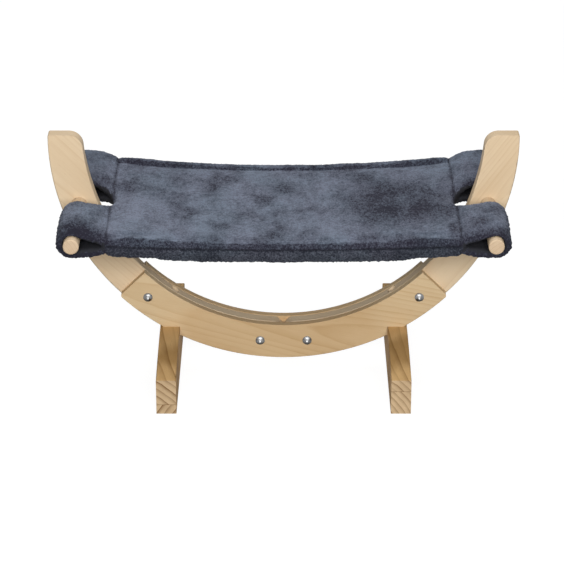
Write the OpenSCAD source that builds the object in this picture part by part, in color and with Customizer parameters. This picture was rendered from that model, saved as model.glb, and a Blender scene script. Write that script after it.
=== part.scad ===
// Cat hammock: a wooden arc stand on two crossing legs, with a padded plush sling between two dowels.
// X runs along the sling, Y from front to back and Z up from the floor.

/* [Arc boards] */
// Radius of the middle line of the curved boards
arc_r = 337; // [310:1:350]
// Width of the curved boards, from inner edge to outer edge
arc_w = 57; // [50:1:64]
// Height of the arc's lowest point above the floor
arc_ground = 19.5; // [14:0.5:26]
// Thickness of each arm
arm_t = 22; // [18:0.5:26]
// Height of the horn tops above the centre of the arc
horn_rise = 9.5; // [4:0.5:30]
// Rounding of a horn's inner top corner
horn_round = 22; // [12:1:36]
// Narrowing of the horns at their tops, taken off their inner edges
horn_taper = 4.5; // [1:0.5:8]
// Rounding of a horn's outer top corner
horn_nick = 3; // [1:0.5:6]
// Rounding of an arm's inner corner at the middle joint
butt_round = 17.5; // [8:0.5:24]
// Gap between the two arms at the middle joint
butt_gap = 0.4; // [0.2:0.1:1]
// Easing along the long edges of the arms
arm_ease = 2; // [0.5:0.5:4]

/* [Clamp plates] */
// Thickness of each clamp plate
plate_t = 13; // [10:0.5:16]
// Angle from the middle of a clamp plate to each of its ends
plate_reach = 45.3; // [42:0.1:50]
// Rounding of the outer corners of the plate ends
plate_round = 5; // [2:0.5:9]
// Easing along the long edges of the clamp plates
plate_ease = 1.2; // [0.4:0.2:3]

/* [Legs] */
// Length of each leg, front to back
leg_l = 366; // [320:2:400]
// Thickness of each leg
leg_t = 31; // [26:0.5:36]
// Angle of the legs round the arc, from straight down
leg_angle = 32.55; // [30:0.05:34]
// Depth of the leg's notch in the arc, at the notch's inner wall
leg_notch = 14.7; // [10:0.1:20]
// Fall of a leg's crowned top, from its seat to its ends
leg_drop = 17; // [8:0.5:26]
// Easing along the top edges of the legs
leg_ease = 1.5; // [0.5:0.5:3]

/* [Dowels] */
// Diameter of each dowel
dowel_d = 24; // [18:0.5:28]
// Length of each dowel
dowel_l = 362; // [346:2:380]
// Angle of the dowels round the arc, from straight down
dowel_angle = 71.7; // [68:0.1:75]
// Rounding of the ends of the dowels
dowel_round = 2; // [0.5:0.5:4]
// Gap round a dowel in its hole and in its sleeves
dowel_fit = 0.3; // [0.2:0.05:0.6]

/* [Sling] */
// Depth of the sling, front to back
sling_depth = 338; // [300:2:344]
// Distance from a dowel's axis to the seam that closes its sleeves
seam_reach = 51.6; // [44:0.2:60]
// Drop from a dowel's axis to the joint of the two layers at that seam
seam_drop = 5; // [2:0.5:10]
// Sag of the middle of the sling below its seams
sling_sag = 7.5; // [2:0.5:20]
// Thickness of the upper plush layer at the hem, in the middle of the sling
top_t = 11; // [10:0.5:15]
// Thickness of the upper plush layer at the hem, beside the sleeves
top_end_t = 18; // [11:0.5:20]
// Thickness of the lower plush layer at the hem, in the middle of the sling
under_t = 18.5; // [15:0.5:22]
// Thickness of the sleeves' folded-back ends below the sling, beside the middle of the lower layer
flap_t = 15.5; // [12:0.5:17]
// Thickness of the wadding between the layers
wadding_t = 8; // [5:0.5:10]
// Width of the hem roll outside its stitch line
hem_w = 23; // [16:0.5:30]
// Swell of the padded field above the hem
field_swell = 0; // [0:0.5:5]
// How far the long edges are drawn in at the middle
edge_draw = 3; // [0:0.5:8]
// Wall of the plush sleeves round the dowels
sleeve_t = 12.6; // [9:0.2:15]
// Swell of the sleeves' upper sides between dowel and seam
sleeve_swell = 4; // [0:0.5:6]
// Half the width of the arm slot between two sleeves, at the seam
slot_inner = 12; // [8:1:24]
// Half the width of the arm slot between two sleeves, at the dowel
slot_outer = 45; // [30:1:56]
// How far an arm slot runs on into the end of the sling
slot_dip = 2; // [0:0.5:8]
// Gap between sewn pieces
sew_gap = 0.3; // [0.2:0.05:0.5]

/* [Fasteners] */
// Thread diameter of all bolts
bolt_d = 6; // [5:0.5:8]
// Diameter of the domed heads on the clamp plates
head_d = 14.5; // [12:0.5:18]
// Height of the domed heads
head_h = 3.8; // [3:0.1:5]
// Width across flats of the hexagon sockets
socket_w = 4; // [3:0.5:5]
// Angle of the outer clamp bolts, from straight down
outer_bolt_angle = 39.7; // [38:0.1:41]
// Angle of the inner clamp bolts, from straight down
inner_bolt_angle = 6.4; // [5:0.1:9]
// Diameter of the sleeve nuts' barrels
barrel_d = 8.6; // [7.5:0.1:10]
// Length of the sleeve nuts' barrels
barrel_l = 11; // [8:0.5:12.5]
// Diameter of the leg bolts' heads
cap_d = 10; // [9:0.5:11.5]
// Height of the leg bolts' heads
cap_h = 6; // [4:0.5:7]
// Height of the leg bolts' head seats above the legs
cap_seat = 26; // [18:1:34]
// Lean of the leg bolts towards the middle of the arc, from upright
bolt_lean = 9; // [0:0.5:12]
// Diameter of the counterbores over the leg bolts
counterbore_d = 14; // [13:0.5:16]
// Diameter of the leg bolts' washers
washer_d = 12.6; // [12:0.2:14]
// Thickness of the leg bolts' washers
washer_t = 1.6; // [1:0.2:2]
// Diameter of the threaded inserts in the legs
insert_d = 10; // [9:0.5:12]
// Length of the threaded inserts
insert_l = 15; // [10:1:20]
// Length of leg bolt below its insert
bolt_past = 4; // [2:1:8]
// Gap between wooden faces, and under bolt heads
fit = 0.2; // [0.1:0.05:0.4]
// Gap round a bolt in its hole
bolt_fit = 0.3; // [0.2:0.05:0.6]

/* [Hidden] */
$fn = 96;

pine = "#e3c497";
leg_pine = "#d9b27c";
beech = "#e6c49c";
plush = "#50555f";
under_plush = "#474a55";
fill = "#e9e9e4";
steel = "#b9bcc0";

// Overrun of every cut
over = 4;

arc_in = arc_r - arc_w / 2;
arc_out = arc_r + arc_w / 2;
arc_z = arc_ground + arc_out;
horn_top = arc_z + horn_rise;
stack_half = arm_t / 2 + fit + plate_t;

// The sweep of an arm runs past the middle joint and past the horn top, which are cut square
sweep_past = 8;
horn_sweep = 90 + asin(horn_rise / arc_in) + sweep_past;

// A horn's inner edge is a flatter arc that crosses the boards' inner edge and ends at the narrowed top.
// Angles from straight down: from the line of the two centres, the crossing and the top.
taper_line = 54;
taper_cross = 74 - taper_line;
taper_top = 90 + asin(horn_rise / arc_in) - taper_line;
top_in = arc_in + horn_taper;
taper_gain = arc_in * cos(taper_cross) - top_in * cos(taper_top);
taper_back = (pow(top_in, 2) - pow(arc_in, 2)) / (2 * taper_gain);
taper_r = sqrt(pow(arc_in, 2) + 2 * taper_back * arc_in * cos(taper_cross) + pow(taper_back, 2));

leg_x = arc_r * sin(leg_angle);
leg_in = leg_x - leg_t / 2;
leg_seat = arc_z - sqrt(pow(arc_out, 2) - pow(leg_in, 2)) + leg_notch;
leg_end = leg_seat - leg_drop;
// The crowned top is an arc through the edges of the seat and the tops of the two ends
crown_z = (pow(leg_seat, 2) - pow(leg_end, 2) + pow(stack_half, 2) - pow(leg_l / 2, 2)) / (2 * leg_drop);
crown_r = sqrt(pow(stack_half, 2) + pow(leg_seat - crown_z, 2));
crown_depth = leg_seat + leg_end;
crown_sweep = asin(leg_l / 2 / crown_r) + sweep_past;

dowel_x = arc_r * sin(dowel_angle);
dowel_z = arc_z - arc_r * cos(dowel_angle);

bolt_angles = [-outer_bolt_angle, -inner_bolt_angle, inner_bolt_angle, outer_bolt_angle];
socket_depth = head_h * 0.6;
// Depth of the threaded inserts below the legs' seats, so that their leaning rims stay in the wood
insert_sink = insert_d / 2 * tan(bolt_lean) + fit;
rim_share = 0.25;
bore_fit = 0.1;

seam_x = dowel_x - seam_reach;
seam_z = dowel_z - seam_drop;
sleeve_in = dowel_d / 2 + dowel_fit + sew_gap / 2;
sleeve_out = sleeve_in + sleeve_t;

// Hem roll from the edge seam over the roll to the stitch line: shares of the hem's width and of the layer
hem_in_shares = [0.10, 0, 0.04, 0.16, 0.38, 0.64, 0.86, 1];
hem_up_shares = [0.06, 0.30, 0.62, 0.86, 1, 0.96, 0.83, 0.70];
stitch_share = hem_up_shares[len(hem_up_shares) - 1];
// Padded field from the stitch line to the middle of the sling
field_in_shares = [0.06, 0.2, 0.48, 0.72, 0.92, 1];
field_power = 0.45;
// The layers are pinched beside the sleeve seams
pinch_share = 0.1;
pinch_l = 14;
slot_pinch_share = 0.62;
// Curve of the slot's ends
slot_power = 4;
// Places along the sling, as shares of the way from its middle to a sleeve seam
half_shares = [0.15, 0.3, 0.45, 0.6, 0.695, 0.715, 0.8, 0.88, 0.94, 0.98, 1];
// The middle of the lower layer ends between two of them
flap_share = 0.705;
// Slit of a sleeve beside its seam and the sewn web before it, as shares of the sleeve's wall
slit_share = 0.12;
web_share = 0.6;
full_turn = 360;
// Rings along a sleeve, with the wall thinned at its two soft edges
sleeve_run_shares = [0, 0.05, 0.16, 0.3, 0.6, 0.84, 0.95, 1];
sleeve_wall_shares = [0.62, 1, 1, 1, 1, 1, 1, 0.62];
// The front sleeves' upper sides fall to their hems, and all sleeves are pinched at the slot beside the seam
front_wall_shares = [0.36, 0.56, 0.82, 1, 1, 1, 1, 0.62];
slot_wall_shares = [0.62, 1, 1, 1, 1, 1, 0.66, 0.3];
sleeve_steps = 16;
bow_shares = [0.18, 0.45, 0.72];

// Point at an angle from straight down and at a radius, seen from the centre of the arc
function on_arc(angle, radius) = radius * [sin(angle), -cos(angle)];

// Flat shapes and sweeps

module eased_rect(width, thickness, ease) {
    square([width - 2 * ease, thickness], center = true);
    square([width, thickness - 2 * ease], center = true);
    for (side = [-1, 1], end = [-1, 1])
        translate([side * (width / 2 - ease), end * (thickness / 2 - ease)])
            circle(ease);
}

// Curved board standing in the XZ plane, between two angles from straight down
module arc_board(from, to, thickness, ease) {
    translate([0, 0, arc_z])
        rotate([90, 0, 0])
            rotate([0, 0, from - 90])
                rotate_extrude(angle = to - from)
                    translate([arc_r, 0])
                        eased_rect(arc_w, thickness, ease);
}

// Flat outline in the XZ plane about the centre of the arc, cut right through the boards
module arc_cut() {
    translate([0, 0, arc_z])
        rotate([90, 0, 0])
            linear_extrude(2 * (stack_half + over), center = true)
                children();
}

// What a rounding takes off a corner: the outline from the rounding's centre, less its circle
module corner_cut(centre, radius, outline) {
    arc_cut()
        difference() {
            polygon(concat([centre], outline));
            translate(centre)
                circle(radius);
        }
}

module horn_cuts() {
    reach = arc_out + over;
    translate([0, -reach / 2, horn_top])
        cube([reach, reach, reach]);
    taper_out = on_arc(taper_line, 1);
    taper_up = [-taper_out.y, taper_out.x];
    taper_centre = -taper_back * taper_out;
    arc_cut()
        intersection() {
            translate(taper_centre)
                circle(taper_r);
            polygon([
                taper_centre,
                taper_centre + reach * taper_out,
                taper_centre + reach * (taper_out + taper_up),
                taper_centre + reach * taper_up
            ]);
        }
    inner_y = horn_rise - horn_round;
    inner_x = taper_centre.x + sqrt(pow(taper_r + horn_round, 2) - pow(inner_y - taper_centre.y, 2));
    inner = [inner_x, inner_y];
    inner_touch = taper_centre + (inner - taper_centre) * taper_r / (taper_r + horn_round);
    corner_cut(inner, horn_round, [
        [inner.x, horn_rise + over],
        [inner_touch.x - over, horn_rise + over],
        [inner_touch.x - over, inner_touch.y],
        inner_touch
    ]);
    outer = [sqrt(pow(arc_out - horn_nick, 2) - pow(horn_rise - horn_nick, 2)), horn_rise - horn_nick];
    outer_touch = outer * arc_out / (arc_out - horn_nick);
    corner_cut(outer, horn_nick, [
        outer_touch,
        [outer_touch.x + over, outer_touch.y],
        [outer_touch.x + over, horn_rise + over],
        [outer.x, horn_rise + over]
    ]);
}

module butt_cuts() {
    reach = arc_out + over;
    translate([butt_gap / 2 - reach, -reach / 2, 0])
        cube([reach, reach, reach]);
    centre_x = butt_gap / 2 + butt_round;
    centre = [centre_x, -sqrt(pow(arc_in + butt_round, 2) - pow(centre_x, 2))];
    touch = centre * arc_in / (arc_in + butt_round);
    corner_cut(centre, butt_round, [
        touch,
        [touch.x, over - arc_in],
        [butt_gap / 2 - over, over - arc_in],
        [butt_gap / 2 - over, centre.y]
    ]);
}

module plate_end_cut() {
    lean = asin(plate_round / (arc_out - plate_round));
    centre = on_arc(plate_reach - lean, arc_out - plate_round);
    past_end = over * [cos(plate_reach), sin(plate_reach)];
    end_touch = on_arc(plate_reach, (arc_out - plate_round) * cos(lean));
    corner_cut(centre, plate_round, [
        on_arc(plate_reach - lean, arc_out + over),
        on_arc(plate_reach, arc_out + over) + past_end,
        end_touch + past_end
    ]);
}

module leg_notch_cut() {
    reach = 2 * (stack_half + over);
    translate([leg_in - fit, -reach / 2, 0])
        cube([leg_t + arc_w, reach, leg_seat]);
}

// Hole along Y through all the boards
module cross_hole(angle, diameter) {
    spot = on_arc(angle, arc_r);
    translate([spot.x, 0, arc_z + spot.y])
        rotate([90, 0, 0])
            cylinder(d = diameter, h = 2 * (stack_half + over), center = true);
}

// Wooden pieces

module arm() {
    difference() {
        arc_board(-sweep_past, horn_sweep, arm_t, arm_ease);
        horn_cuts();
        butt_cuts();
        leg_notch_cut();
        cross_hole(dowel_angle, dowel_d + 2 * dowel_fit);
        cross_hole(inner_bolt_angle, bolt_d + 2 * bolt_fit);
        cross_hole(outer_bolt_angle, bolt_d + 2 * bolt_fit);
        translate([leg_x, 0, leg_seat])
            rotate([0, -bolt_lean, 0]) {
                translate([0, 0, -2 * over])
                    cylinder(d = bolt_d + 2 * bolt_fit, h = cap_seat + 3 * over);
                translate([0, 0, cap_seat])
                    cylinder(d = counterbore_d, h = arc_w + over);
            }
    }
}

module plate(hole_d) {
    difference() {
        arc_board(-plate_reach, plate_reach, plate_t, plate_ease);
        for (side = [0, 1])
            mirror([side, 0, 0]) {
                plate_end_cut();
                leg_notch_cut();
            }
        for (angle = bolt_angles)
            cross_hole(angle, hole_d);
    }
}

module leg() {
    difference() {
        intersection() {
            translate([0, 0, crown_z])
                rotate([90, 0, 90])
                    rotate([0, 0, 90 - crown_sweep])
                        rotate_extrude(angle = 2 * crown_sweep)
                            translate([crown_r - crown_depth / 2, 0])
                                eased_rect(crown_depth, leg_t, leg_ease);
            translate([-leg_t / 2, -leg_l / 2, 0])
                cube([leg_t, leg_l, leg_seat]);
        }
        translate([0, 0, leg_seat])
            rotate([0, -bolt_lean, 0]) {
                translate([0, 0, -insert_sink - insert_l - fit])
                    cylinder(d = insert_d + 2 * fit, h = insert_l + insert_sink + 2 * over);
                translate([0, 0, -insert_sink - insert_l - 2 * bolt_past])
                    cylinder(d = bolt_d + 2 * bolt_fit, h = insert_l + bolt_past);
            }
    }
}

module dowel() {
    rotate([-90, 0, 0])
        rotate_extrude() {
            translate([0, -dowel_l / 2])
                square([dowel_d / 2 - dowel_round, dowel_l]);
            translate([0, dowel_round - dowel_l / 2])
                square([dowel_d / 2, dowel_l - 2 * dowel_round]);
            for (end = [-1, 1])
                translate([dowel_d / 2 - dowel_round, end * (dowel_l / 2 - dowel_round)])
                    circle(dowel_round);
        }
}

// Fasteners, each with its seat at the origin and its shank along +Z

module domed_head() {
    rim = head_h * rim_share;
    rise = head_h - rim;
    dome_r = (pow(head_d / 2, 2) + pow(rise, 2)) / (2 * rise);
    difference() {
        intersection() {
            translate([0, 0, -head_h])
                cylinder(d = head_d, h = head_h);
            translate([0, 0, dome_r - head_h])
                sphere(dome_r);
        }
        translate([0, 0, -head_h - over])
            cylinder(d = socket_w / cos(30), h = socket_depth + over, $fn = 6);
    }
}

module frame_bolt() {
    domed_head();
    cylinder(d = bolt_d, h = 2 * stack_half + fit - bolt_fit - bolt_past / 2);
}

module frame_nut() {
    difference() {
        union() {
            domed_head();
            cylinder(d = barrel_d, h = barrel_l);
        }
        translate([0, 0, bolt_past / 2])
            cylinder(d = bolt_d + 2 * bore_fit, h = barrel_l + over);
    }
}

module leg_bolt() {
    difference() {
        translate([0, 0, -cap_h])
            cylinder(d = cap_d, h = cap_h);
        translate([0, 0, -cap_h - over])
            cylinder(d = socket_w / cos(30), h = cap_h / 2 + over, $fn = 6);
    }
    cylinder(d = bolt_d, h = washer_t + cap_seat + insert_l + bolt_past);
}

module leg_washer() {
    difference() {
        cylinder(d = washer_d, h = washer_t);
        translate([0, 0, -over])
            cylinder(d = bolt_d + 2 * bolt_fit, h = washer_t + 2 * over);
    }
}

module leg_insert() {
    difference() {
        cylinder(d = insert_d, h = insert_l);
        translate([0, 0, -over])
            cylinder(d = bolt_d + 2 * bore_fit, h = insert_l + 2 * over);
    }
}

// Sewn pieces

// Middle height of the sling and half its depth, along X
function sling_mid(x) = seam_z - sling_sag * (1 - pow(x / seam_x, 2));
function sling_half(x) = sling_depth / 2 - edge_draw * (1 - pow(x / seam_x, 2));
// How near a place is to a sleeve seam, and how near to an arm slot, each from 0 to 1
function end_part(x) = exp((abs(x) - seam_x) / pinch_l);
function slot_part(y) = max(0, 1 - abs(y) / slot_outer);
function sling_pinch(x, y) =
    (1 - pinch_share * end_part(x)) * (1 - slot_pinch_share * end_part(x) * slot_part(y));

function field_up(share, thick) =
    stitch_share * thick + ((1 - stitch_share) * thick + field_swell) * sin(90 * pow(share, field_power));

// Thickness of the upper or lower layer at the hem, along X
function layer_thick(x, up) =
    up > 0 ? top_t + (top_end_t - top_t) * pow(x / seam_x, 2) : abs(x) > flap_share * seam_x ? flap_t : under_t;

// Front half of a layer's outline: outer face and inner face, each as distance in from the edge and height
function layer_rows(half, thick) =
    let (last = len(hem_in_shares) - 1, first_share = hem_in_shares[0])
    concat(
        [for (i = [0 : last]) [
            hem_in_shares[i] * hem_w,
            hem_up_shares[i] * thick,
            (first_share + (1 - first_share) * i / last) * hem_w,
            sew_gap / 2
        ]],
        [for (share = field_in_shares) [
            hem_w + share * (half - hem_w),
            field_up(share, thick),
            hem_w + share * (half - hem_w),
            wadding_t / 2 + sew_gap
        ]]
    );

// Both halves, front to back: outer place in Y and height, inner place in Y and height
function layer_outline(half, thick) =
    let (rows = layer_rows(half, thick), last = len(rows) - 1)
    concat(
        [for (row = rows) [row[0] - half, row[1], row[2] - half, row[3]]],
        [for (i = [last - 1 : -1 : 0]) [half - rows[i][0], rows[i][1], half - rows[i][2], rows[i][3]]]
    );

// Point of a layer at a height from its joint, with the sling's ends hollowed at the arm slots
function layer_point(x, y, height) = [
    x - sign(x) * slot_dip * max(0, 1 - pow(y / slot_inner, 2)) * end_part(x),
    y,
    sling_mid(x) + height
];

// Ring of points at one place along X: outer face front to back, then inner face back to front.
// The inner faces of the two layers come together at the sling's ends.
function layer_ring(x, up) =
    let (
        outline = layer_outline(sling_half(x), layer_thick(x, up)),
        count = len(outline),
        closed = abs(x) > seam_x - fit
    )
    concat(
        [for (p = outline) layer_point(x, p[0], up * p[1] * sling_pinch(x, p[0]))],
        [for (i = [count - 1 : -1 : 0])
            layer_point(x, outline[i][2], up * (closed ? sew_gap / 2 : outline[i][3]))]
    );

// Triangles of a run of equal rings, each ring an outer row and then an inner row coming back
function slab_faces(rings, count) =
    let (ring = 2 * count)
    concat(
        [for (i = [0 : rings - 2], j = [0 : ring - 1])
            let (a = i * ring + j, b = i * ring + (j + 1) % ring)
            each [[a, b, b + ring], [a, b + ring, a + ring]]],
        [for (end = [0, rings - 1], j = [0 : count - 2])
            let (a = end * ring + j, b = end * ring + ring - 1 - j)
            each end == 0 ? [[a, b, b - 1], [a, b - 1, a + 1]] : [[a, b - 1, b], [a, a + 1, b - 1]]]
    );

function turned(faces) = [for (f = faces) [f[0], f[2], f[1]]];

// Places along X from the left seam to the right seam
function stations(half_l) =
    let (last = len(half_shares) - 1)
    half_l * concat([for (i = [last : -1 : 0]) -half_shares[i]], [0], half_shares);

module sling_layer(up) {
    places = stations(seam_x);
    points = [for (x = places) each layer_ring(x, up)];
    count = len(layer_outline(sling_half(0), top_t));
    faces = slab_faces(len(places), count);
    polyhedron(points, up > 0 ? turned(faces) : faces);
}

// Outline of a sleeve round its dowel: distance from the dowel towards the seam, and height from its axis
function tangent(point, radius, side) = atan2(point.y, point.x) + side * acos(radius / norm(point));

// Points between two others, swelling out to the right of the way from one to the other
function bowed(from, to, swell) =
    let (way = to - from)
    [for (share = bow_shares)
        from + share * way + 4 * share * (1 - share) * swell * [way.y, -way.x] / norm(way)];

function loop(top, bottom, radius, swell) =
    let (
        from = tangent(top, radius, 1),
        to = full_turn + tangent(bottom, radius, -1),
        turn = [for (i = [0 : sleeve_steps])
            let (angle = from + (to - from) * i / sleeve_steps)
            radius * [cos(angle), sin(angle)]]
    )
    concat(
        [top],
        bowed(top, turn[0], swell),
        turn,
        bowed(turn[sleeve_steps], bottom, swell / 2),
        [bottom]
    );

sewn_top = (1 - pinch_share) * top_end_t - seam_drop;
sewn_bottom = -(1 - pinch_share) * flap_t - seam_drop;
slit_half = slit_share * sleeve_t;
sewn_u = seam_reach - sew_gap;
slit_u = seam_reach - web_share * sleeve_t;
outer_loop = loop([sewn_u, sewn_top], [sewn_u, sewn_bottom], sleeve_out, sleeve_swell);
inner_loop = loop([slit_u, slit_half - seam_drop], [slit_u, -slit_half - seam_drop], sleeve_in, 0);

// Half width of the arm slot, wide at the dowel and closing in a curve towards the seam
function slot_half(u) =
    slot_outer + (slot_inner - slot_outer) * pow(max(0, min(1, u / seam_reach)), slot_power);

// Share of a sleeve's wall at one of its rings and at a point of its outline
function sleeve_wall(k, p, front) =
    let (
        plain = sleeve_wall_shares[k],
        above = front ? max(0, min(1, 2 * p.y / sleeve_out)) : 0,
        beside = max(0, min(1, 2 * p.x / seam_reach - 1))
    )
    plain + above * (front_wall_shares[k] - plain) + beside * (slot_wall_shares[k] - plain);

function sleeve_point(p, run) = [
    p.x,
    sling_depth / 2 + (slot_half(p.x) - sling_depth / 2) * run,
    p.y
];

// Triangles of a walled tube: each ring holds its outer loop and then its inner loop
function tube_faces(rings, count) =
    let (ring = 2 * count)
    concat(
        [for (i = [0 : rings - 2], j = [0 : count - 1])
            let (a = i * ring + j, b = i * ring + (j + 1) % count, c = a + count, d = b + count)
            each [[a, b, b + ring], [a, b + ring, a + ring], [c, d + ring, d], [c, c + ring, d + ring]]],
        [for (end = [0, rings - 1], j = [0 : count - 1])
            let (a = end * ring + j, b = end * ring + (j + 1) % count, c = a + count, d = b + count)
            each end == 0 ? [[a, c, d], [a, d, b]] : [[a, d, c], [a, b, d]]]
    );

// Sleeve seen from its dowel: X towards the seam, Y from the slot out to the hem
module sleeve_form(front) {
    count = len(outer_loop);
    rings = len(sleeve_run_shares);
    points = [
        for (k = [0 : rings - 1])
            let (run = sleeve_run_shares[k])
            each concat(
                [for (j = [0 : count - 1])
                    let (wall = sleeve_wall(k, outer_loop[j], front))
                    sleeve_point(inner_loop[j] + wall * (outer_loop[j] - inner_loop[j]), run)],
                [for (j = [0 : count - 1])
                    sleeve_point(inner_loop[j], run)]
            )
    ];
    polyhedron(points, tube_faces(rings, count));
}

// Placed sub-parts

module sleeve(side, end) {
    color(plush)
        translate([side * dowel_x, 0, dowel_z])
            mirror([side > 0 ? 1 : 0, 0, 0])
                mirror([0, end < 0 ? 1 : 0, 0])
                    sleeve_form(end < 0);
}

module side_arm(side) {
    color(pine)
        mirror([side < 0 ? 1 : 0, 0, 0])
            arm();
}

module side_leg(side) {
    color(leg_pine)
        mirror([side < 0 ? 1 : 0, 0, 0])
            translate([leg_x, 0, 0])
                leg();
}

module side_dowel(side) {
    color(beech)
        translate([side * dowel_x, 0, dowel_z])
            dowel();
}

module clamp_plate(end, hole_d) {
    color(pine)
        translate([0, end * (arm_t / 2 + fit + plate_t / 2), 0])
            plate(hole_d);
}

// Copies at the four clamp bolt places, seated on the front or rear plate
module at_clamp_bolts(end) {
    for (angle = bolt_angles) {
        spot = on_arc(angle, arc_r);
        translate([spot.x, end * (stack_half + fit), arc_z + spot.y])
            rotate([end * 90, 0, 0])
                children();
    }
}

// Copies on the two leg bolt axes, pointing down from a height above the legs
module at_leg_bolts(height) {
    for (side = [0, 1])
        mirror([side, 0, 0])
            translate([leg_x, 0, leg_seat])
                rotate([0, -bolt_lean, 0])
                    translate([0, 0, height])
                        rotate([180, 0, 0])
                            children();
}

module frame_bolts() {
    color(steel)
        at_clamp_bolts(-1)
            frame_bolt();
}

module frame_nuts() {
    color(steel)
        at_clamp_bolts(1)
            frame_nut();
}

module leg_bolts() {
    color(steel)
        at_leg_bolts(cap_seat + washer_t + 2 * fit)
            leg_bolt();
}

module leg_washers() {
    color(steel)
        at_leg_bolts(cap_seat + washer_t + fit)
            leg_washer();
}

module leg_inserts() {
    color(steel)
        at_leg_bolts(-insert_sink)
            leg_insert();
}

module sling_top() {
    color(plush)
        sling_layer(1);
}

module sling_underside() {
    color(under_plush)
        sling_layer(-1);
}

module sling_wadding() {
    color(fill) {
        places = stations(seam_x - hem_w / 2);
        points = [
            for (x = places)
                let (half = (sling_half(x) - hem_w) * (1 - field_in_shares[0]), mid = sling_mid(x))
                each [
                    [x, -half, mid + wadding_t / 2], [x, half, mid + wadding_t / 2],
                    [x, half, mid - wadding_t / 2], [x, -half, mid - wadding_t / 2]
                ]
        ];
        polyhedron(points, turned(slab_faces(len(places), 2)));
    }
}

clamp_plate(-1, bolt_d + 2 * bolt_fit);  // front_plate
clamp_plate(1, barrel_d + 2 * bolt_fit);  // rear_plate
side_arm(-1);  // left_arm
side_arm(1);  // right_arm
side_leg(-1);  // left_leg
side_leg(1);  // right_leg
frame_bolts();
frame_nuts();
leg_bolts();
leg_washers();
leg_inserts();
side_dowel(-1);  // left_dowel
side_dowel(1);  // right_dowel
sling_top();
sling_wadding();
sling_underside();
sleeve(-1, -1);  // left_front_sleeve
sleeve(-1, 1);  // left_rear_sleeve
sleeve(1, -1);  // right_front_sleeve
sleeve(1, 1);  // right_rear_sleeve
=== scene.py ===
"""Looks of the cat hammock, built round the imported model. Metres, Z up, +Y to the back."""
import math

import bmesh
import bpy
import numpy as np
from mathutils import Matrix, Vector, noise


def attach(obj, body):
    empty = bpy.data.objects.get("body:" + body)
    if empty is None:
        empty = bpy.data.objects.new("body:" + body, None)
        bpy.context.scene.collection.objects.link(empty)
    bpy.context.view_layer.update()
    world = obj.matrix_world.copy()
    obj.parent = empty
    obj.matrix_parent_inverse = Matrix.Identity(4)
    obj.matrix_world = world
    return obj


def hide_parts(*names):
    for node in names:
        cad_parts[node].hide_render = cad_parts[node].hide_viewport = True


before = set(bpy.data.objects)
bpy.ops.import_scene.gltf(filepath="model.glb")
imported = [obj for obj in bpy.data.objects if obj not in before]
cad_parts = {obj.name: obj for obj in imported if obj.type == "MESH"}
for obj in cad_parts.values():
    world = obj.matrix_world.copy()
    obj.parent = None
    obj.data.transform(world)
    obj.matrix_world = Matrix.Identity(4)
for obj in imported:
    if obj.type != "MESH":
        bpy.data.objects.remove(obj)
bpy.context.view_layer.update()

SCENE = bpy.context.scene
MM = 0.001

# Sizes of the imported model

ARC_R, ARC_Z = 337 * MM, 385 * MM
DOWEL_ANGLE = math.radians(71.7)
DOWEL_X, DOWEL_Z = ARC_R * math.sin(DOWEL_ANGLE), ARC_Z - ARC_R * math.cos(DOWEL_ANGLE)
SEAM_REACH = 51.6 * MM
SEAM_X = DOWEL_X - SEAM_REACH
SEAM_Z = DOWEL_Z - 5 * MM
SAG = 7.5 * MM
HALF_DEPTH = 169 * MM
DRAW = 3 * MM
TOP_T, TOP_END_T = 11 * MM, 18 * MM
UNDER_T, FLAP_T = 18.5 * MM, 15.5 * MM
FLAP_X = 0.705 * SEAM_X
PINCH = 0.1
PINCH_L = 14 * MM
SLOT_PINCH = 0.62
SLOT_DIP = 2 * MM
SLOT_INNER, SLOT_OUTER = 12 * MM, 45 * MM
SLOT_POWER = 4
SLEEVE_IN = 12.5 * MM
SLEEVE_OUT = 25 * MM
SLEEVE_SWELL = 4 * MM

# Sizes of the sewn forms alone

FACE = 0.15 * MM
UNDER_PINCH = 0.3
VALLEY = 0.12
VALLEY_L = 3 * MM
LUMP, TUFT, STRAND = 0.8 * MM, 1.1 * MM, 0.55 * MM
PILE_EDGE = 5 * MM
LAYER_PRESSURE, LAYER_CAP = 4.0, 2.2 * MM
SLEEVE_PRESSURE, SLEEVE_CAP = 3.0, 2.0 * MM
CLOTH_FRAMES = 20

# Camera

PHOTO_W = 564
FOCAL_PX = 2411.157
PITCH = 24.173
SENSOR = 36.0
camera_data = bpy.data.cameras.new("camera")
camera_data.sensor_width = SENSOR
camera_data.lens = SENSOR * FOCAL_PX / PHOTO_W
camera_data.clip_end = 50
camera = bpy.data.objects.new("camera", camera_data)
camera.location = (-0.00256, -3.50406, 1.71405)
camera.rotation_euler = (math.radians(90 - PITCH), 0, 0)
SCENE.collection.objects.link(camera)
SCENE.camera = camera


# Node helpers

def linear(r, g, b):
    """A colour given as 0 to 255 display values."""
    def one(c):
        c /= 255
        return c / 12.92 if c <= 0.04045 else ((c + 0.055) / 1.055) ** 2.4
    return (one(r), one(g), one(b), 1.0)


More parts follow.
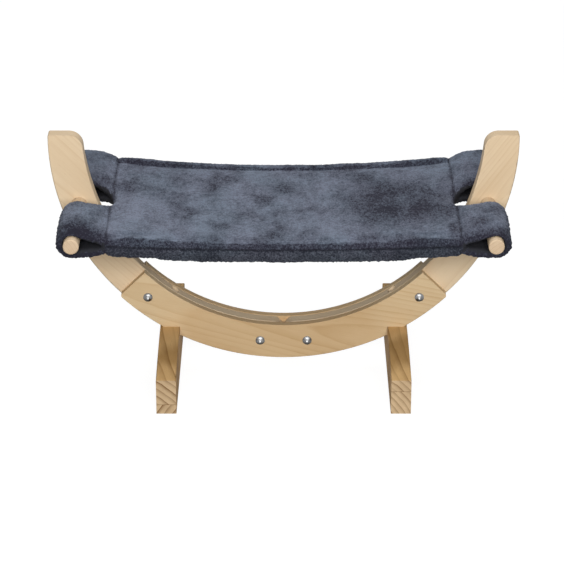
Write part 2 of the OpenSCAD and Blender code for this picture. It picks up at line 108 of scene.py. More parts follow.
class Graph:
    """The node tree of a new material or of the world, with short calls for adding nodes and links."""

    def __init__(self, owner, output="Material"):
        owner.use_nodes = True
        self.owner = owner
        self.tree = owner.node_tree
        self.tree.nodes.clear()
        self.out = self.tree.nodes.new("ShaderNodeOutput" + output)

    def add(self, kind, inputs=(), **settings):
        n = self.tree.nodes.new("ShaderNode" + kind)
        for key, value in settings.items():
            setattr(n, key, value)
        for key, value in dict(inputs).items():
            socket = n.inputs[key]
            if isinstance(value, bpy.types.NodeSocket):
                self.tree.links.new(value, socket)
            else:
                socket.default_value = value
        return n

    def math(self, operation, *values, clamp=False):
        return self.add("Math", dict(enumerate(values)), operation=operation, use_clamp=clamp).outputs[0]

    def vec(self, operation, a, b=None):
        n = self.add("VectorMath", {0: a} if b is None else {0: a, 1: b}, operation=operation)
        return n.outputs["Value" if operation in ("DOT_PRODUCT", "LENGTH", "DISTANCE") else "Vector"]

    def combine(self, x, y, z):
        return self.add("CombineXYZ", {0: x, 1: y, 2: z}).outputs[0]

    def noise(self, vector, scale, detail=2.0, rough=0.5, distortion=0.0):
        n = self.add("TexNoise", {"Vector": vector, "Scale": scale, "Detail": detail,
                                  "Roughness": rough, "Distortion": distortion})
        return n.outputs["Fac"]

    def span(self, value, low, high, to_low=0.0, to_high=1.0):
        return self.add("MapRange", {0: value, 1: low, 2: high, 3: to_low, 4: to_high}).outputs[0]

    def smooth(self, value, low, high):
        return self.add("MapRange", {0: value, 1: low, 2: high, 3: 0.0, 4: 1.0},
                        interpolation_type="SMOOTHSTEP").outputs[0]

    def mix(self, factor, a, b, mode="MIX"):
        n = self.add("Mix", {0: factor, 6: a, 7: b}, data_type="RGBA", blend_type=mode)
        return n.outputs[2]

    def ramp(self, factor, stops):
        n = self.add("ValToRGB", {0: factor})
        band = n.color_ramp.elements
        while len(band) < len(stops):
            band.new(0.5)
        for e, (at, grey) in zip(band, stops):
            e.position = at
            e.color = (grey, grey, grey, 1.0)
        return n.outputs[0]

    def surface(self, shader):
        self.tree.links.new(shader.outputs[0], self.out.inputs[0])
        return self.owner

    def finish(self, **inputs):
        return self.surface(self.add("BsdfPrincipled", {k.replace("_", " "): v for k, v in inputs.items()}))


# Wood

def wood(name, along, pith, ring, tones, seed, contrast, warp, glue=None, heartwood_and_shadow=None, shine=0.1):
    """Solid wood: growth rings round a pith line, so faces show grain and cut ends show rings.
    along is the grain's direction and pith a point on the pith line, both in the shared frame.
    tones are a pale and a dark colour, first for faces along the grain and then for cut ends.
    glue is the height of a glued joint and the shift of the pith above it. heartwood_and_shadow is a darker
    stretch
    of the grain: its distance from the middle, half its length and the tint it multiplies by. On the plates
    it is heartwood tone; on the legs it is painted shadow of the sling."""
    g = Graph(bpy.data.materials.new(name))
    place = g.add("TexCoord").outputs["Object"]
    axis = Vector(along).normalized()
    side = axis.cross(Vector((0.31, 0.17, 0.93))).normalized()
    other = axis.cross(side)
    local = g.vec("SUBTRACT", place, pith)
    run = g.vec("DOT_PRODUCT", local, tuple(axis))
    line = 0.0
    if glue:
        height, shift = glue
        up = g.add("SeparateXYZ", {0: place}).outputs[2]
        above = g.math("GREATER_THAN", up, height)
        local = g.vec("ADD", local, g.vec("MULTIPLY", g.combine(above, above, above), shift))
        line = g.math("COMPARE", up, height, 0.0005)
    a = g.vec("DOT_PRODUCT", local, tuple(side))
    b = g.vec("DOT_PRODUCT", local, tuple(other))
    c = g.vec("DOT_PRODUCT", local, tuple(axis))
    slow = g.combine(g.math("ADD", a, seed * 0.37), b, g.math("MULTIPLY", c, 0.22))
    bend_a = g.math("SUBTRACT", g.noise(slow, 9.0, 2.0), 0.5)
    bend_b = g.math("SUBTRACT", g.noise(g.vec("ADD", slow, (3.1, 7.7, 1.9)), 9.0, 2.0), 0.5)
    bent = g.combine(g.math("MULTIPLY_ADD", bend_a, warp * 4, a),
                     g.math("MULTIPLY_ADD", bend_b, warp * 4, b), 0.0)
    ripple = g.math("SUBTRACT", g.noise(slow, 45.0, 2.0), 0.5)
    count = g.math("MULTIPLY_ADD", ripple, 0.45, g.math("DIVIDE", g.vec("LENGTH", bent), ring))
    phase = g.math("FRACT", count)
    year = g.add("TexWhiteNoise", {"W": g.math("FLOOR", count)}, noise_dimensions="1D").outputs["Value"]
    late = g.ramp(phase, [(0.0, 0.05), (0.45, 0.14), (0.8, 0.6), (0.92, 1.0), (1.0, 0.1)])
    late = g.math("MULTIPLY", late, g.span(year, 0.0, 1.0, 0.25, 1.0))
    fibre = g.noise(g.combine(g.math("MULTIPLY", a, 900.0), g.math("MULTIPLY", b, 900.0),
                              g.math("MULTIPLY", c, 14.0)), 1.0, 3.0, 0.6)
    tone = g.noise(g.combine(g.math("MULTIPLY", a, 26.0), g.math("MULTIPLY", b, 26.0),
                             g.math("MULTIPLY", c, 5.0)), 1.0, 3.0)
    canal = g.noise(g.combine(g.math("MULTIPLY", a, 700.0), g.math("MULTIPLY", b, 700.0),
                              g.math("MULTIPLY", c, 70.0)), 1.0, 1.0)
    normal = g.add("NewGeometry").outputs["True Normal"]
    cut = g.smooth(g.math("ABSOLUTE", g.vec("DOT_PRODUCT", normal, tuple(axis))), 0.75, 0.95)
    amount = g.math("MULTIPLY", late, g.span(cut, 0.0, 1.0, contrast, min(1.0, contrast * 1.5)))
    amount = g.math("ADD", amount, g.span(fibre, 0.3, 0.7, -0.05, 0.07))
    amount = g.math("ADD", amount, g.span(tone, 0.35, 0.7, -0.06, 0.2))
    amount = g.math("ADD", amount, g.span(canal, 0.7, 0.8, 0.0, 0.3))
    amount = g.math("ADD", amount, g.math("MULTIPLY", line, 0.45), clamp=True)
    side_tones, end_tones = tones
    colour = g.mix(cut, g.mix(amount, *side_tones), g.mix(amount, *end_tones))
    # On the legs this darker stretch is painted shadow of the sling on the leg tops; on the plates it is
    # heartwood tone.
    if heartwood_and_shadow:
        middle, half, tint = heartwood_and_shadow
        reach = g.math("ABSOLUTE", g.math("SUBTRACT", g.math("ABSOLUTE", run), middle))
        reach = g.math("MULTIPLY_ADD", g.math("SUBTRACT", tone, 0.5), 0.12, reach)
        zone = g.smooth(reach, half + 0.02, half - 0.02)
        colour = g.mix(zone, colour, g.mix(1.0, colour, tint, "MULTIPLY"))
    height = g.math("MULTIPLY_ADD", fibre, 0.35, g.math("MULTIPLY", late, 0.5))
    bump = g.add("Bump", {"Strength": 0.14, "Distance": 0.0006, "Height": height}).outputs[0]
    return g.finish(Base_Color=colour, Roughness=g.span(fibre, 0.2, 0.8, 0.5, 0.64), Normal=bump,
                    Specular_IOR_Level=shine)


ARM = ((linear(228, 205, 172), linear(196, 158, 112)), (linear(220, 194, 156), linear(186, 148, 102)))
PLATE = ((linear(222, 196, 156), linear(186, 146, 95)), (linear(206, 174, 130), linear(164, 122, 76)))
LEG = ((linear(218, 180, 126), linear(138, 99, 55)), (linear(214, 186, 148), linear(124, 90, 54)))
ROD = ((linear(222, 198, 166), linear(188, 152, 112)), (linear(214, 190, 160), linear(180, 146, 108)))
PLATE_HEART = (0.0, 0.15, (0.93, 0.875, 0.815, 1.0))
# Painted shadow of the sling on each leg's top, in bands about 70 to 140 mm in front of and behind the
# middle.
LEG_SLING_SHADOW = (0.106, 0.034, (0.68, 0.63, 0.55, 1.0))

finish = {
    "front_plate": wood("pine_front_plate", (1, -0.045, -0.22), (0.0, 0.029, 0.083), 0.0065,
                        PLATE, 1, 0.45, 0.004, heartwood_and_shadow=PLATE_HEART),
    "rear_plate": wood("pine_rear_plate", (1, 0.03, 0.12), (-0.04, -0.036, 0.1), 0.0065,
                       PLATE, 5, 0.45, 0.004, heartwood_and_shadow=PLATE_HEART),
    "left_arm": wood("pine_left_arm", (1, 0.035, -1.0), (-0.3, 0.045, 0.3), 0.0045, ARM, 2, 0.3, 0.004),
    "right_arm": wood("pine_right_arm", (1, -0.03, 1.3), (0.325, 0.045, 0.26), 0.0045, ARM, 3, 0.28, 0.004),
    "left_leg": wood("pine_left_leg", (-0.1, 1, 0.03), (-0.082, 0, -0.081), 0.01, LEG, 4, 0.7, 0.002,
                     glue=(0.0155, (0.2005, 0.1, 0.0)), heartwood_and_shadow=LEG_SLING_SHADOW, shine=0.02),
    "right_leg": wood("pine_right_leg", (0.03, 1, -0.02), (0.125, 0, -0.035), 0.0085, LEG, 6, 0.6, 0.002,
                      glue=(0.038, (0.02, 0.1, 0.012)), heartwood_and_shadow=LEG_SLING_SHADOW, shine=0.02),
    "left_dowel": wood("beech_left_dowel", (0.01, 1, 0), (-0.36, 0, 0.25), 0.003, ROD, 7, 0.35, 0.002),
    "right_dowel": wood("beech_right_dowel", (0, 1, 0.01), (0.35, 0, 0.24), 0.003, ROD, 8, 0.35, 0.002),
}


# Metal

def plated(name):
    """Dull zinc plate with painted reflections: darker on faces that turn down, as painted shade, and
    brighter in the flat of a socket, as a painted highlight.
    """
    g = Graph(bpy.data.materials.new(name))
    place = g.add("TexCoord").outputs["Object"]
    grain = g.noise(place, 900.0, 3.0)
    cloud = g.noise(place, 160.0, 2.0)
    normal = g.add("NewGeometry").outputs["Normal"]
    up = g.add("SeparateXYZ", {0: normal}).outputs[2]
    flat = g.smooth(g.vec("DOT_PRODUCT", normal, (0.0, -1.0, 0.0)), 0.975, 0.995)
    colour = g.mix(g.span(cloud, 0.35, 0.65), linear(142, 142, 142), linear(118, 118, 118))
    # Painted shade: faces that turn down are darkened, standing in for the dim surroundings they reflect.
    colour = g.mix(g.smooth(up, 0.1, -0.5), colour, linear(76, 75, 72))
    # Painted highlight: faces that look straight to the front, the flat of a socket among them, are made
    # bright.
    colour = g.mix(flat, colour, linear(226, 226, 226))
    bump = g.add("Bump", {"Strength": 0.08, "Distance": 0.0002, "Height": grain}).outputs[0]
    rough = g.span(grain, 0.3, 0.7, 0.26, 0.4)
    return g.finish(Base_Color=colour, Metallic=1.0, Roughness=rough, Normal=bump)


steel = plated("plated_steel")
for name in ("frame_bolts", "frame_nuts", "leg_bolts", "leg_washers", "leg_inserts"):
    finish[name] = steel
for name, material in finish.items():
    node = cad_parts[name]
    node.data.materials.clear()
    node.data.materials.append(material)


# Plush

def plush(name, lit, deep_and_shaded, seed, lay, low, patches=(), hem=None):
    """Short pile: mottled by the lie of the pile, with painted light and shade: faces that turn along lay get
    the lit colour and the others are painted darker, partly the look of the pile's lie. low is the share of
    the lit colour on the other faces. patches are brushed places, each a centre, radii and a depth, and hem
    is the rear stitch line in
    Y, behind which the pile is painted darker as shade of the rolled hem. The seams are painted darker,
    partly the pile parting at the stitches and partly painted shade of their valleys; the line where the two
    layers meet is painted dark as shade, and so is the hollow of a sleeve round its dowel."""
    g = Graph(bpy.data.materials.new(name))
    frame_place = g.add("TexCoord").outputs["Object"]
    split = g.add("SeparateXYZ", {0: frame_place})
    normal = g.add("NewGeometry").outputs["Normal"]
    place = g.vec("MULTIPLY", g.vec("ADD", frame_place, (seed, seed * 0.7, 0.0)), (1.0, 0.6, 1.0))
    broad = g.noise(place, 9.0, 2.0, 0.5, 0.3)
    cloud = g.noise(place, 30.0, 2.0, 0.45, 0.2)
    tuft = g.noise(place, 130.0, 2.0, 0.6, 0.2)
    grain = g.noise(place, 360.0, 2.0, 0.9)
    nap_and_shade = g.math("ADD", g.span(broad, 0.35, 0.65, -0.2, 0.2), g.span(tuft, 0.3, 0.7, -0.2, 0.2))
    nap_and_shade = g.math("MULTIPLY_ADD", g.smooth(cloud, 0.56, 0.28), -0.48, nap_and_shade)
    nap_and_shade = g.math("MULTIPLY_ADD", g.smooth(cloud, 0.5, 0.7), 0.24, nap_and_shade)
    for centre, radius, depth in patches:
        away = g.vec("LENGTH", g.vec("DIVIDE", g.vec("SUBTRACT", frame_place, centre), radius))
        away = g.math("ADD", away, g.span(cloud, 0.3, 0.7, 0.3, -0.3))
        nap_and_shade = g.math("MULTIPLY_ADD", g.math("SUBTRACT", 1.0, g.smooth(away, 0.3, 1.0)), -depth, nap_and_shade)
    reach = g.math("ABSOLUTE", split.outputs[0])
    panel = g.smooth(reach, SEAM_X, SEAM_X - 0.004)
    # Painted shade: behind the rear stitch line the pile is darkened, standing in for the shaded face of the
    # rolled hem.
    if hem:
        hem_shade = g.smooth(split.outputs[1], hem - 0.001, hem + 0.002)
        nap_and_shade = g.math("MULTIPLY_ADD", g.math("MULTIPLY", hem_shade, panel), -0.16, nap_and_shade)
    # The seams are painted darker: partly the pile parting at the stitches, partly painted shade in the
    # seam's valley.
    seam = g.smooth(g.math("ABSOLUTE", g.math("SUBTRACT", reach, SEAM_X)), 0.0045, 0.0005)
    nap_and_shade = g.math("MULTIPLY_ADD", seam, -0.4, nap_and_shade)
    # Painted shade along the line where the two layers meet, following the sling's middle height.
    share = g.math("DIVIDE", reach, SEAM_X)
    middle = g.math("MULTIPLY_ADD", g.math("POWER", share, 2.0), SAG, SEAM_Z - SAG)
    joint = g.smooth(g.math("ABSOLUTE", g.math("SUBTRACT", split.outputs[2], middle)), 0.0032, 0.0006)
    nap_and_shade = g.math("MULTIPLY_ADD", g.math("MULTIPLY", joint, panel), -0.9, nap_and_shade)
    # Painted light and shade: faces that turn along lay get the lit colour and the others the darker colour,
    # partly the look of the pile's lie.
    painted_facing = g.smooth(g.vec("DOT_PRODUCT", normal, lay), 0.3, 0.75)
    amount = g.math("MULTIPLY_ADD", nap_and_shade, g.math("MULTIPLY_ADD", painted_facing, 0.5, 0.18),
                    g.math("MULTIPLY_ADD", painted_facing, 0.62 - low, low))
    amount = g.math("MULTIPLY_ADD", g.span(grain, 0.3, 0.7, -0.36, 0.36),
                    g.math("MULTIPLY_ADD", painted_facing, -0.1, 0.85), amount, clamp=True)
    colour = g.mix(amount, deep_and_shaded, lit)
    tint = g.noise(place, 14.0, 2.0)
    greener = g.mix(1.0, colour, linear(222, 255, 248), "MULTIPLY")
    colour = g.mix(g.span(tint, 0.4, 0.62, 0.0, 0.3), colour, greener)
    # Painted shade in the hollow of a sleeve round its dowel, where the sheen is taken away as well.
    beyond = g.math("MULTIPLY", g.math("SUBTRACT", reach, DOWEL_X), g.math("SIGN", split.outputs[0]))
    outward = g.combine(beyond, 0.0, g.math("SUBTRACT", split.outputs[2], DOWEL_Z))
    inside = g.math("MULTIPLY", g.smooth(g.vec("DOT_PRODUCT", outward, normal), 0.0, -0.006),
                    g.math("GREATER_THAN", reach, SEAM_X))
    colour = g.mix(inside, colour, linear(46, 47, 52))
    height = g.math("ADD", grain, g.math("MULTIPLY", tuft, 0.8))
    bump = g.add("Bump", {"Strength": 0.5, "Distance": 0.0016, "Height": height}).outputs[0]
    sheen = g.math("MULTIPLY", g.span(amount, 0.0, 0.8, 0.1, 0.6), g.math("SUBTRACT", 1.0, inside))
    return g.finish(Base_Color=colour, Roughness=0.95, Specular_IOR_Level=0.1, Sheen_Weight=sheen,
                    Sheen_Roughness=0.5, Sheen_Tint=linear(170, 178, 196), Normal=bump)


BRUSHED = [
    ((0.183, -0.012, 0.28), (0.135, 0.125, 1.0), 0.88),
    ((-0.33, -0.18, 0.29), (0.09, 0.07, 1.0), 0.9),
    ((0.33, -0.18, 0.29), (0.075, 0.038, 1.0), 0.58),
]
HEM_LINE = 0.1445
plush_top = plush("plush_top", linear(118, 125, 142), linear(40, 38, 49), 0.0, (0.0, 0.5, 0.866), 0.14,
                  BRUSHED, HEM_LINE)
plush_under = plush("plush_under", linear(112, 115, 128), linear(36, 37, 46), 6.0, (0.0, 0.5, -0.866), 0.2)


# Sewn forms

def smoothstep(low, high, x):
    t = np.clip((np.asarray(x, float) - low) / (high - low), 0, 1)
    return t * t * (3 - 2 * t)


def spaced(fine, coarse, band):
    """Shares of a run from 0 to 1, closer together near its two ends."""
    ends = np.arange(0, band, fine)
    middle = np.linspace(band, 1 - band, int(round((1 - 2 * band) / coarse)) + 1)
    return np.concatenate([ends, middle, 1 - ends[::-1]])


def along(path, shares):
    """Places on a polyline at shares of its length."""
    path = np.asarray(path, float)
    far = np.concatenate([[0], np.cumsum(np.linalg.norm(np.diff(path, axis=0), axis=1))])
    return np.stack([np.interp(shares * far[-1], far, path[:, k]) for k in range(path.shape[1])], 1)


def curve_through(points):
    """Smooth open curve through points."""
    p = np.asarray(points, float)
    p = np.vstack([2 * p[0] - p[1], p, 2 * p[-1] - p[-2]])
    t = np.linspace(0, 1, 16, endpoint=False)[:, None]
    runs = []
    for a, b, c, d in zip(p, p[1:], p[2:], p[3:]):
        square, cube = 2 * a - 5 * b + 4 * c - d, 3 * b - a - 3 * c + d
        runs.append(0.5 * (2 * b + (c - a) * t + square * t ** 2 + cube * t ** 3))
    return np.vstack(runs + [p[-2:-1]])


def make_mesh(name, points, faces, seam=None):
    """A mesh object. A closed form's faces turn outwards, and edges between two seam points stay sharp."""
    mesh = bpy.data.meshes.new(name)
    mesh.from_pydata([tuple(p) for p in points], [], [tuple(int(i) for i in f) for f in faces])
    form = bmesh.new()
    form.from_mesh(mesh)
    if form.calc_volume(signed=True) < 0:
        bmesh.ops.reverse_faces(form, faces=form.faces)
    if seam is not None:
        crease = form.edges.layers.float.new("crease_edge")
        for e in form.edges:
            if seam[e.verts[0].index] and seam[e.verts[1].index]:
                e[crease] = 1.0
    form.to_mesh(mesh)
    form.free()
    obj = bpy.data.objects.new(name, mesh)
    SCENE.collection.objects.link(obj)
    return obj


def coords(obj):
    out = np.empty(len(obj.data.vertices) * 3)
    obj.data.vertices.foreach_get("co", out)
    return out.reshape(-1, 3)


def set_coords(obj, points):
    obj.data.vertices.foreach_set("co", np.asarray(points, float).ravel())
    obj.data.update()


def normals(obj):
    out = np.empty(len(obj.data.vertices) * 3, np.float32)
    obj.data.vertex_normals.foreach_get("vector", out)
    return out.reshape(-1, 3)


def field(points, scale, seed):
    """Smooth noise from -1 to 1 at each point."""
    shift = Vector((seed * 17.3, seed * 5.1, seed * 9.7))
    return np.array([noise.noise(Vector(p) * scale + shift) for p in points])


def puff(obj, pinned, pressure, cap):
    """Cloth with pressure inside, held at the pinned points, and no point moved further than cap."""
    start = coords(obj)
    group = obj.vertex_groups.new(name="pin")
    group.add([int(i) for i in np.nonzero(pinned)[0]], 1.0, "REPLACE")
    cloth = obj.modifiers.new("cloth", "CLOTH")
    s = cloth.settings
    s.quality = 5
    s.mass = 0.25
    s.tension_stiffness = s.compression_stiffness = 12
    s.shear_stiffness = 4
    s.bending_stiffness = 0.4
    s.use_pressure = True
    s.uniform_pressure_force = pressure
    s.effector_weights.gravity = 0
    s.vertex_group_mass = "pin"
    s.pin_stiffness = 1
    cloth.point_cache.frame_start = 1
    cloth.point_cache.frame_end = CLOTH_FRAMES
    for f in range(CLOTH_FRAMES):
        SCENE.frame_set(f + 1)
    shaped = obj.evaluated_get(bpy.context.evaluated_depsgraph_get()).to_mesh()
    moved = np.empty(len(shaped.vertices) * 3)
    shaped.vertices.foreach_get("co", moved)
    step = moved.reshape(-1, 3) - start
    far = np.linalg.norm(step, axis=1)
    keep = np.where(far > 1e-9, cap * np.tanh(far / cap) / np.maximum(far, 1e-9), 0)
    obj.modifiers.remove(cloth)
    obj.vertex_groups.remove(group)
    SCENE.frame_set(1)
    set_coords(obj, start + step * keep[:, None])


def subdivide(obj):
    mod = obj.modifiers.new("sub", "SUBSURF")
    mod.levels = mod.render_levels = 1
    fine = bpy.data.meshes.new_from_object(obj.evaluated_get(bpy.context.evaluated_depsgraph_get()))
    obj.modifiers.remove(mod)
    old = obj.data
    obj.data = fine
    bpy.data.meshes.remove(old)
    fine.name = obj.name


def pile(obj, seed, hold):
    """Uneven plush surface: soft lumps, and tufts of pile fine enough to roughen the outline."""
    p, n = coords(obj), normals(obj)
    edge = 0.45 + 0.55 * smoothstep(0.75, 0.35, n[:, 2])
    strands = np.clip(np.random.default_rng(seed).normal(0, 1, len(p)), -2, 2)
    rise = LUMP * field(p, 28, seed) + edge * (TUFT * field(p, 150, seed + 1) + STRAND * strands)
    set_coords(obj, p + n * (rise * hold(p))[:, None])


def dress(obj, material, nodes):
    obj.data.materials.clear()
    obj.data.materials.append(material)
    obj.data.polygons.foreach_set("use_smooth", np.ones(len(obj.data.polygons), bool))
    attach(obj, "stand")
    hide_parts(*nodes)


def sling_mid(x):
    return SEAM_Z - SAG * (1 - (x / SEAM_X) ** 2)


def sling_half(x):
    return HALF_DEPTH - DRAW * (1 - (x / SEAM_X) ** 2)


# Outlines of a layer across the sling, front to back. A point is millimetres in from the front or back
# edge, or a share of the way across the field, and a share of the layer's thickness.
FIELD_PLACES = (0.08, 0.3, 0.5, 0.7, 0.92)
TOP_MIDDLE = {
    "front": [(3, 0.02), (0.9, 0.2), (0, 0.42), (0.6, 0.62), (2.2, 0.8), (4.6, 0.94), (7.5, 1.02), (11, 1.03),
              (18, 0.98)],
    "field": (0.93, 0.9, 0.88, 0.85, 0.78),
    "back": [(30, 0.75), (25, 0.71), (20.5, 0.62), (17.5, 0.78), (13, 1.02), (8, 1.1), (3.5, 0.98),
             (0.9, 0.72), (0, 0.44), (0.9, 0.2), (3, 0.02)],
}
TOP_END = {
    "front": [(3, 0.02), (0.9, 0.2), (0, 0.36), (1.2, 0.5), (4.5, 0.66), (10, 0.83), (15, 0.95), (19.5, 1.02),
              (28, 1.01)],
    "field": (1, 1, 1, 1, 0.98),
    "back": [(30, 0.94), (25, 0.89), (20.5, 0.8), (17.5, 0.88), (13, 1.02), (8, 1.06), (3.5, 0.95),
             (0.9, 0.7), (0, 0.44), (0.9, 0.2), (3, 0.02)],
}
UNDER_HEM = [(3, 0.02), (0.9, 0.2), (0, 0.5), (0.3, 0.78), (1.6, 0.98), (5, 1.06), (11, 1.04), (19, 0.96),
             (25, 0.94)]
UNDER = {"front": UNDER_HEM, "field": (0.94, 0.96, 0.97, 0.96, 0.94), "back": UNDER_HEM[::-1]}
# Where the arm slot leaves a layer's end bare: distance from the slot and share of rounding there.
CORNER_IN, CORNER_BARE = np.array([0, 1.2, 5, 12, 20]) * MM, np.array([1, 0.66, 0.34, 0.11, 0])
CORNER_START, CORNER_L = 0.6 * MM, 9 * MM
NEAR_END, AT_END = 34 * MM, 3 * MM
FIRST_ROWS = np.array([0, 0.6, 2, 4, 6.5, 9.5, 13, 17.3]) * MM
ROW_STEP, MIDDLE_GAP = 4.75 * MM, 2 * MM
ACROSS = spaced(0.0065, 0.0135, 0.1)
STITCH_IN = 20.5 * MM


def across(outline, half, thick):
    """An outline's points at one place along the sling: place in Y and height."""
    front = [(-half + d * MM, s * thick) for d, s in outline["front"]]
    back = [(half - d * MM, s * thick) for d, s in outline["back"]]
    y0, y1 = front[-1][0], back[0][0]
    field_run = [(y0 + (y1 - y0) * t, s * thick) for t, s in zip(FIELD_PLACES, outline["field"])]
    return np.array(front + field_run + back)


def beside_slot(y, up):
    """Share left of a layer's height at a sleeve seam, where the arm slot pinches the layers together."""
    pinch = SLOT_PINCH if up > 0 else UNDER_PINCH
    return 1 - pinch * (1 - smoothstep(0.5 * SLOT_INNER, SLOT_OUTER, np.abs(y)))


def layer(name, up, seed):
    """One plush layer, a closed pad from seam to seam: its outer face, then the flat face to its partner."""
    other_rows = np.arange(FIRST_ROWS[-1] + ROW_STEP, SEAM_X - MIDDLE_GAP, ROW_STEP)
    from_end = np.concatenate([FIRST_ROWS, other_rows])
    xs = np.concatenate([from_end - SEAM_X, [0], (SEAM_X - from_end)[::-1]])
    count, wide = len(xs), len(ACROSS)
    ring = 2 * wide
    rows = []
    for x in xs:
        half, mid, e = sling_half(x), sling_mid(x), SEAM_X - abs(x)
        end = math.exp(-e / PINCH_L)
        if up > 0:
            near = float(smoothstep(NEAR_END, AT_END, e))
            thick = TOP_T + (TOP_END_T - TOP_T) * (x / SEAM_X) ** 2
            path = (1 - near) * across(TOP_MIDDLE, half, thick) + near * across(TOP_END, half, thick)
        else:
            flap = float(smoothstep(FLAP_X - 2 * MM, FLAP_X + 2 * MM, abs(x)))
            thick = UNDER_T + (FLAP_T - UNDER_T) * flap
            path = across(UNDER, half, thick)
        outer = along(curve_through(path), ACROSS)
        inner_y = outer[0, 0] + (outer[-1, 0] - outer[0, 0]) * ACROSS[::-1]
        bare = np.interp(np.abs(outer[:, 0]) - SLOT_INNER, CORNER_IN, CORNER_BARE)
        nose = math.sqrt(1 - (1 - min(1, (e + CORNER_START) / CORNER_L)) ** 2)
        outer[:, 1] *= (1 - PINCH * end) * (1 - VALLEY * math.exp(-e / VALLEY_L))
        outer[:, 1] *= (1 + (beside_slot(outer[:, 0], up) - 1) * end) * (1 + (nose - 1) * bare)
        y = np.concatenate([outer[:, 0], inner_y])
        z = np.concatenate([np.maximum(outer[:, 1], FACE), np.full(wide, FACE)])
        dip = math.copysign(SLOT_DIP, x) * end * np.maximum(0, 1 - (y / SLOT_INNER) ** 2)
        rows.append(np.stack([x - dip, y, mid + up * z], 1))
    faces = []
    for i in range(count - 1):
        for j in range(ring):
            k = (j + 1) % ring
            faces.append((i * ring + j, i * ring + k, (i + 1) * ring + k, (i + 1) * ring + j))
    for base, flip in ((0, False), ((count - 1) * ring, True)):
        for j in range(wide - 1):
            quad = (base + j, base + ring - 1 - j, base + ring - 2 - j, base + j + 1)
            faces.append(quad[::-1] if flip else quad)
    points = np.vstack(rows)
    number = np.arange(len(points))
    place = number % ring
    last = (number < ring) | (number >= (count - 1) * ring)
    obj = make_mesh(name, points, faces, last)
    pinned = (place >= wide - 2) | (place < 2) | (np.abs(points[:, 0]) > SEAM_X - 5 * MM)
    if up > 0:
        pinned |= np.abs(sling_half(points[:, 0]) - points[:, 1] - STITCH_IN) < 1.4 * MM
    puff(obj, pinned, LAYER_PRESSURE, LAYER_CAP)
    subdivide(obj)
    pile(obj, seed, lambda p: smoothstep(0, PILE_EDGE, SEAM_X - np.abs(p[:, 0])))
    return obj


def loop(top, bottom, radius, swell=0.0):
    """Sleeve outline from its seam over the dowel and back below: distance in and height from the dowel."""
    def tangent(p, side):
        return math.atan2(p[1], p[0]) + side * math.acos(radius / math.hypot(*p))

    def bowed(a, b, out):
        way = b - a
        t = np.linspace(0, 1, 15)[:, None]
        return a + t * way + 4 * t * (1 - t) * out * np.array([way[1], -way[0]]) / np.linalg.norm(way)
    turn = np.linspace(tangent(top, 1), 2 * math.pi + tangent(bottom, -1), 48)
    arc = radius * np.stack([np.cos(turn), np.sin(turn)], 1)
    over, back = bowed(np.array(top), arc[0], swell), bowed(arc[-1], np.array(bottom), swell / 2)
    return np.vstack([over[:-1], arc, back[1:]])


# A sleeve's wall: millimetres in from the hem or from the arm slot, and share of the wall. The front hem is
# drawn down to the dowel on its upper side, less so beside the seam, and rolls tightly below.
HEM_OVER = [(3, 0.0), (0.8, 0.1), (0, 0.2), (1.5, 0.34), (6, 0.52), (14, 0.72), (24, 0.9), (33, 1.02),
            (42, 1.02)]
HEM_SEAM = [(3, 0.0), (0.8, 0.14), (0, 0.36), (1.2, 0.5), (4.5, 0.66), (10, 0.83), (15, 0.95), (19.5, 1.02),
            (28, 1.01)]
HEM_BELOW = [(3, 0.0), (0.8, 0.14), (0, 0.42), (0.5, 0.7), (2.2, 0.92), (6, 1.0), (12, 1.02), (20, 1.0),
             (30, 1.0)]
SLOT_ROLL = [(20, 1.0), (12, 0.93), (5, 0.78), (1.2, 0.58), (0, 0.38), (0.8, 0.16), (3, 0.0)]
LOOP = spaced(0.012, 0.0205, 0.03)
LIP = 0.36


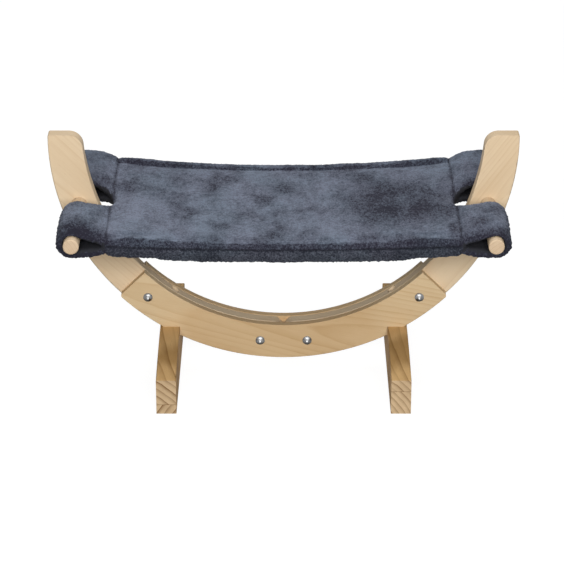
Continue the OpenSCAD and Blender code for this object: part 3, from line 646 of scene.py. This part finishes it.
def sleeve(node, side, end, seed):
    """Plush sleeve round a dowel: a thick loop with soft rolled edges at the hem and at the arm slot."""
    drop = SEAM_Z - DOWEL_Z
    seam, slit, half_slit = SEAM_REACH - 0.15 * MM, SEAM_REACH - 7.5 * MM, 1.5 * MM
    web = np.linspace(0, 1, 8)[1:-1, None]

    def ring_of(path):
        p = along(path, LOOP)
        return np.vstack([p, p[-1] + web * (p[0] - p[-1])])

    def outer_at(y):
        up = drop + float(beside_slot(y, 1)) * (1 - PINCH) * (1 - VALLEY) * TOP_END_T
        down = drop - float(beside_slot(y, -1)) * (1 - PINCH) * (1 - VALLEY) * FLAP_T
        return ring_of(loop((seam, up), (seam, down), SLEEVE_OUT, SLEEVE_SWELL))
    inner = ring_of(loop((slit, drop + half_slit), (slit, drop - half_slit), SLEEVE_IN))
    core = ring_of(loop((seam, drop + half_slit), (seam, drop - half_slit), SLEEVE_IN))
    full = outer_at(SLOT_OUTER)
    steps, count = len(LOOP), len(full)
    above = smoothstep(-0.3 * SLEEVE_OUT, 0.4 * SLEEVE_OUT, full[:, 1]) * (end < 0)
    beside = smoothstep(0.35 * SEAM_REACH, SEAM_REACH, full[:, 0])

    def place(outer, wall):
        wall = np.broadcast_to(wall, count)[:, None]
        lip = core + (outer - core) * np.maximum(wall, LIP)
        p = inner + (lip - inner) * np.minimum(wall / LIP, 1)
        inward = np.clip(p[:, 0] / SEAM_REACH, 0, 1) ** SLOT_POWER
        return p, SLOT_OUTER + (SLOT_INNER - SLOT_OUTER) * inward

    rings, walls = [], []

    def add(p, y, wall):
        rings.append(np.stack([side * (DOWEL_X - p[:, 0]), end * y, DOWEL_Z + p[:, 1]], 1))
        walls.append(np.broadcast_to(wall, count))

    for (d0, w0), (d1, w1), (d2, w2) in zip(HEM_OVER, HEM_SEAM, HEM_BELOW):
        d = above * (d0 + (d1 - d0) * beside) + (1 - above) * d2
        w = above * (w0 + (w1 - w0) * beside) + (1 - above) * w2
        hem_y = HALF_DEPTH - d * MM
        add(place(full, w)[0], hem_y, w)
    slot_y = place(full, 1.0)[1] + SLOT_ROLL[0][0] * MM
    for t in np.linspace(0, 1, 18)[1:-1]:
        y = hem_y + (slot_y - hem_y) * t
        add(place(outer_at(y[0]), 1.0)[0], y, 1.0)
    for d, w in SLOT_ROLL:
        p, slot = place(outer_at(SLOT_INNER + d * MM), w)
        add(p, slot + d * MM, w)
    p, slot = place(full, 0.0)
    slot_y, hem_y = slot + SLOT_ROLL[-1][0] * MM, HALF_DEPTH - HEM_BELOW[0][0] * MM
    for t in np.linspace(0, 1, 22)[1:-1]:
        add(p, slot_y + (hem_y - slot_y) * t, 0.0)
    total = len(rings)
    faces = []
    for i in range(total):
        a, b = i * count, ((i + 1) % total) * count
        for j in range(count):
            k = (j + 1) % count
            faces.append((a + j, a + k, b + k, b + j))
    spot = np.tile(np.arange(count), total)
    wall_of = np.concatenate(walls)
    sewn = ((spot == 0) | (spot == steps - 1)) & (wall_of >= LIP)
    obj = make_mesh("plush_" + node, np.vstack(rings), faces, sewn)
    puff(obj, (wall_of < 0.8) | (spot >= steps - 2) | (spot < 2), SLEEVE_PRESSURE, SLEEVE_CAP)
    subdivide(obj)

    def clear(p):
        from_rod = np.hypot(np.abs(p[:, 0]) - DOWEL_X, p[:, 2] - DOWEL_Z)
        from_seam = np.abs(p[:, 0]) - SEAM_X
        free = smoothstep(SLEEVE_IN + 1.5 * MM, SLEEVE_IN + PILE_EDGE, from_rod)
        return free * smoothstep(0, PILE_EDGE, from_seam)
    pile(obj, seed, clear)
    dress(obj, plush_top, [node])


top = layer("sling_pad_top", 1, 11)
dress(top, plush_top, ["sling_top", "sling_wadding"])
under = layer("sling_pad_under", -1, 21)
dress(under, plush_under, ["sling_underside"])
for side, side_name in ((-1, "left"), (1, "right")):
    for end, end_name in ((-1, "front"), (1, "rear")):
        sleeve(f"{side_name}_{end_name}_sleeve", side, end, 31 + 2 * side + end)


# Studio

def area(name, place, aim, size, power):
    data = bpy.data.lights.new(name, "AREA")
    data.shape = "RECTANGLE"
    data.size, data.size_y = size
    data.energy = power
    lamp = bpy.data.objects.new(name, data)
    lamp.location = place
    lamp.rotation_euler = (Vector(aim) - Vector(place)).to_track_quat("-Z", "Y").to_euler()
    SCENE.collection.objects.link(lamp)


area("right_softbox", (0.6, -2.9, 1.45), (0, 0, 0.2), (1.2, 1.0), 46)
area("left_softbox", (-0.6, -2.9, 1.55), (0, 0, 0.2), (1.2, 1.0), 36)
area("top_softbox", (0.2, -0.9, 2.6), (0, 0, 0.25), (2.0, 1.6), 17)
area("back_softbox", (-0.3, 2.0, 2.7), (0, 0, 0.2), (1.8, 1.0), 30)

WHITE = (1, 1, 1, 1)
FILL = 0.08
studio = Graph(bpy.data.worlds.new("studio"), "World")
ray = studio.add("LightPath").outputs
seen = studio.math("MAXIMUM", ray["Is Camera Ray"], ray["Is Glossy Ray"])
seen = studio.math("MAXIMUM", seen, ray["Is Transmission Ray"])
soft = studio.add("Background", {"Color": WHITE, "Strength": FILL})
white = studio.add("Background", {"Color": WHITE, "Strength": 1.0})
SCENE.world = studio.surface(studio.add("MixShader", {0: seen, 1: soft.outputs[0], 2: white.outputs[0]}))

# The floor looks white with a faint shadow, but throws back only as much light as grey paper.
FLOOR = 6.0
paper = Graph(bpy.data.materials.new("floor_white"))
ray = paper.add("LightPath").outputs
seen = paper.math("MAXIMUM", ray["Is Camera Ray"], ray["Is Glossy Ray"])
plain = paper.add("BsdfDiffuse", {"Color": (0.35, 0.35, 0.35, 1)})
faint = paper.add("BsdfDiffuse", {"Color": (0.17, 0.17, 0.17, 1)})
glow = paper.add("Emission", {"Color": WHITE, "Strength": 0.93})
lifted = paper.add("AddShader", {0: faint.outputs[0], 1: glow.outputs[0]})
corners = [(x * FLOOR, y * FLOOR, 0) for x, y in ((-1, -1), (1, -1), (1, 1), (-1, 1))]
floor = make_mesh("floor", corners, [(0, 1, 2, 3)])
floor.data.materials.append(
    paper.surface(paper.add("MixShader", {0: seen, 1: plain.outputs[0], 2: lifted.outputs[0]})))

SCENE.view_settings.view_transform = "Standard"
